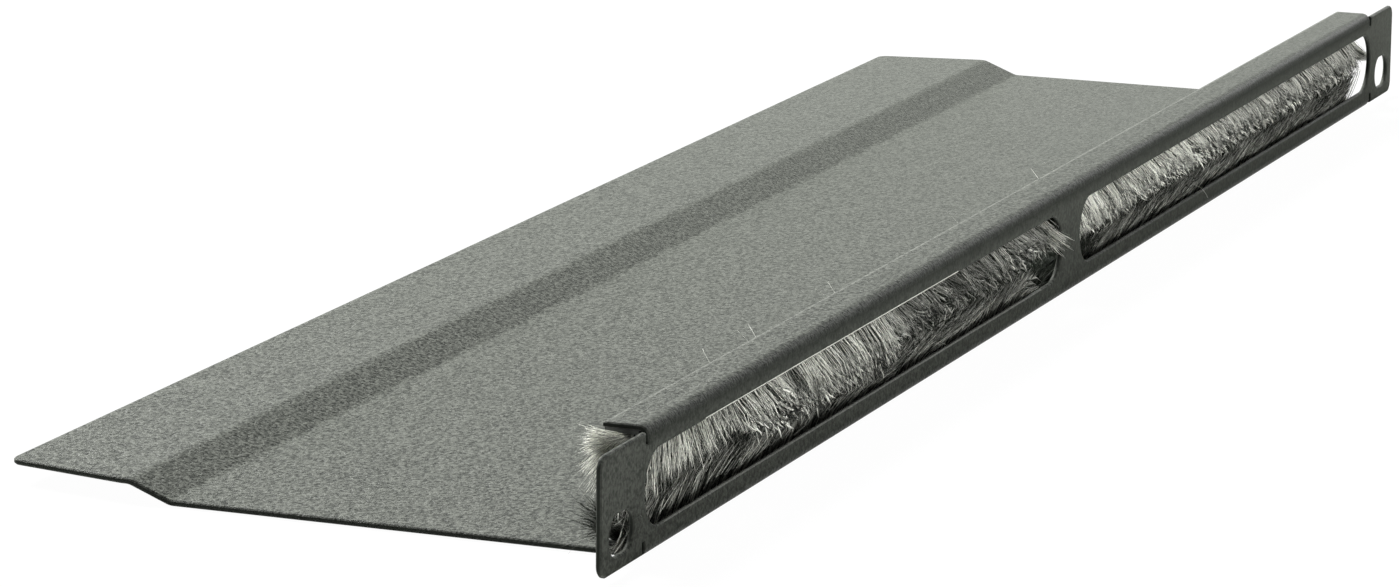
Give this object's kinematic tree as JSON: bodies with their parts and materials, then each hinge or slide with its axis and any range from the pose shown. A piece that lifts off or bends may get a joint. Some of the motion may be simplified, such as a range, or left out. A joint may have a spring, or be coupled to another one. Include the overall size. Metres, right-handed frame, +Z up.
{
  "type": "rack cable organizer",
  "caption": "Half-unit rack panel folded from sheet steel, with long cable slots closed by soft pile strips and a stepped cable tray behind.",
  "frame": {"origin": "centre of the footprint, on the plane of the tray's underside", "axes": "+X along the front face, +Y from the front face towards the rear edge of the tray, +Z up"},
  "size_m": [0.4826, 0.1194, 0.022],
  "materials": {
    "powder_coat": "dark grey powder coat with a fine leather grain",
    "pile_fibre": "silvery grey polypropylene pile",
    "woven_backing": "dark grey woven ribbon",
    "adhesive_film": "black double-sided acrylic film"
  },
  "bodies": {
    "root": {"folded_panel": "powder_coat", "upper_tape": "adhesive_film", "upper_backing": "woven_backing", "upper_pile": "pile_fibre", "lower_tape": "adhesive_film", "lower_backing": "woven_backing", "lower_pile": "pile_fibre"}
  },
  "joints": []
}
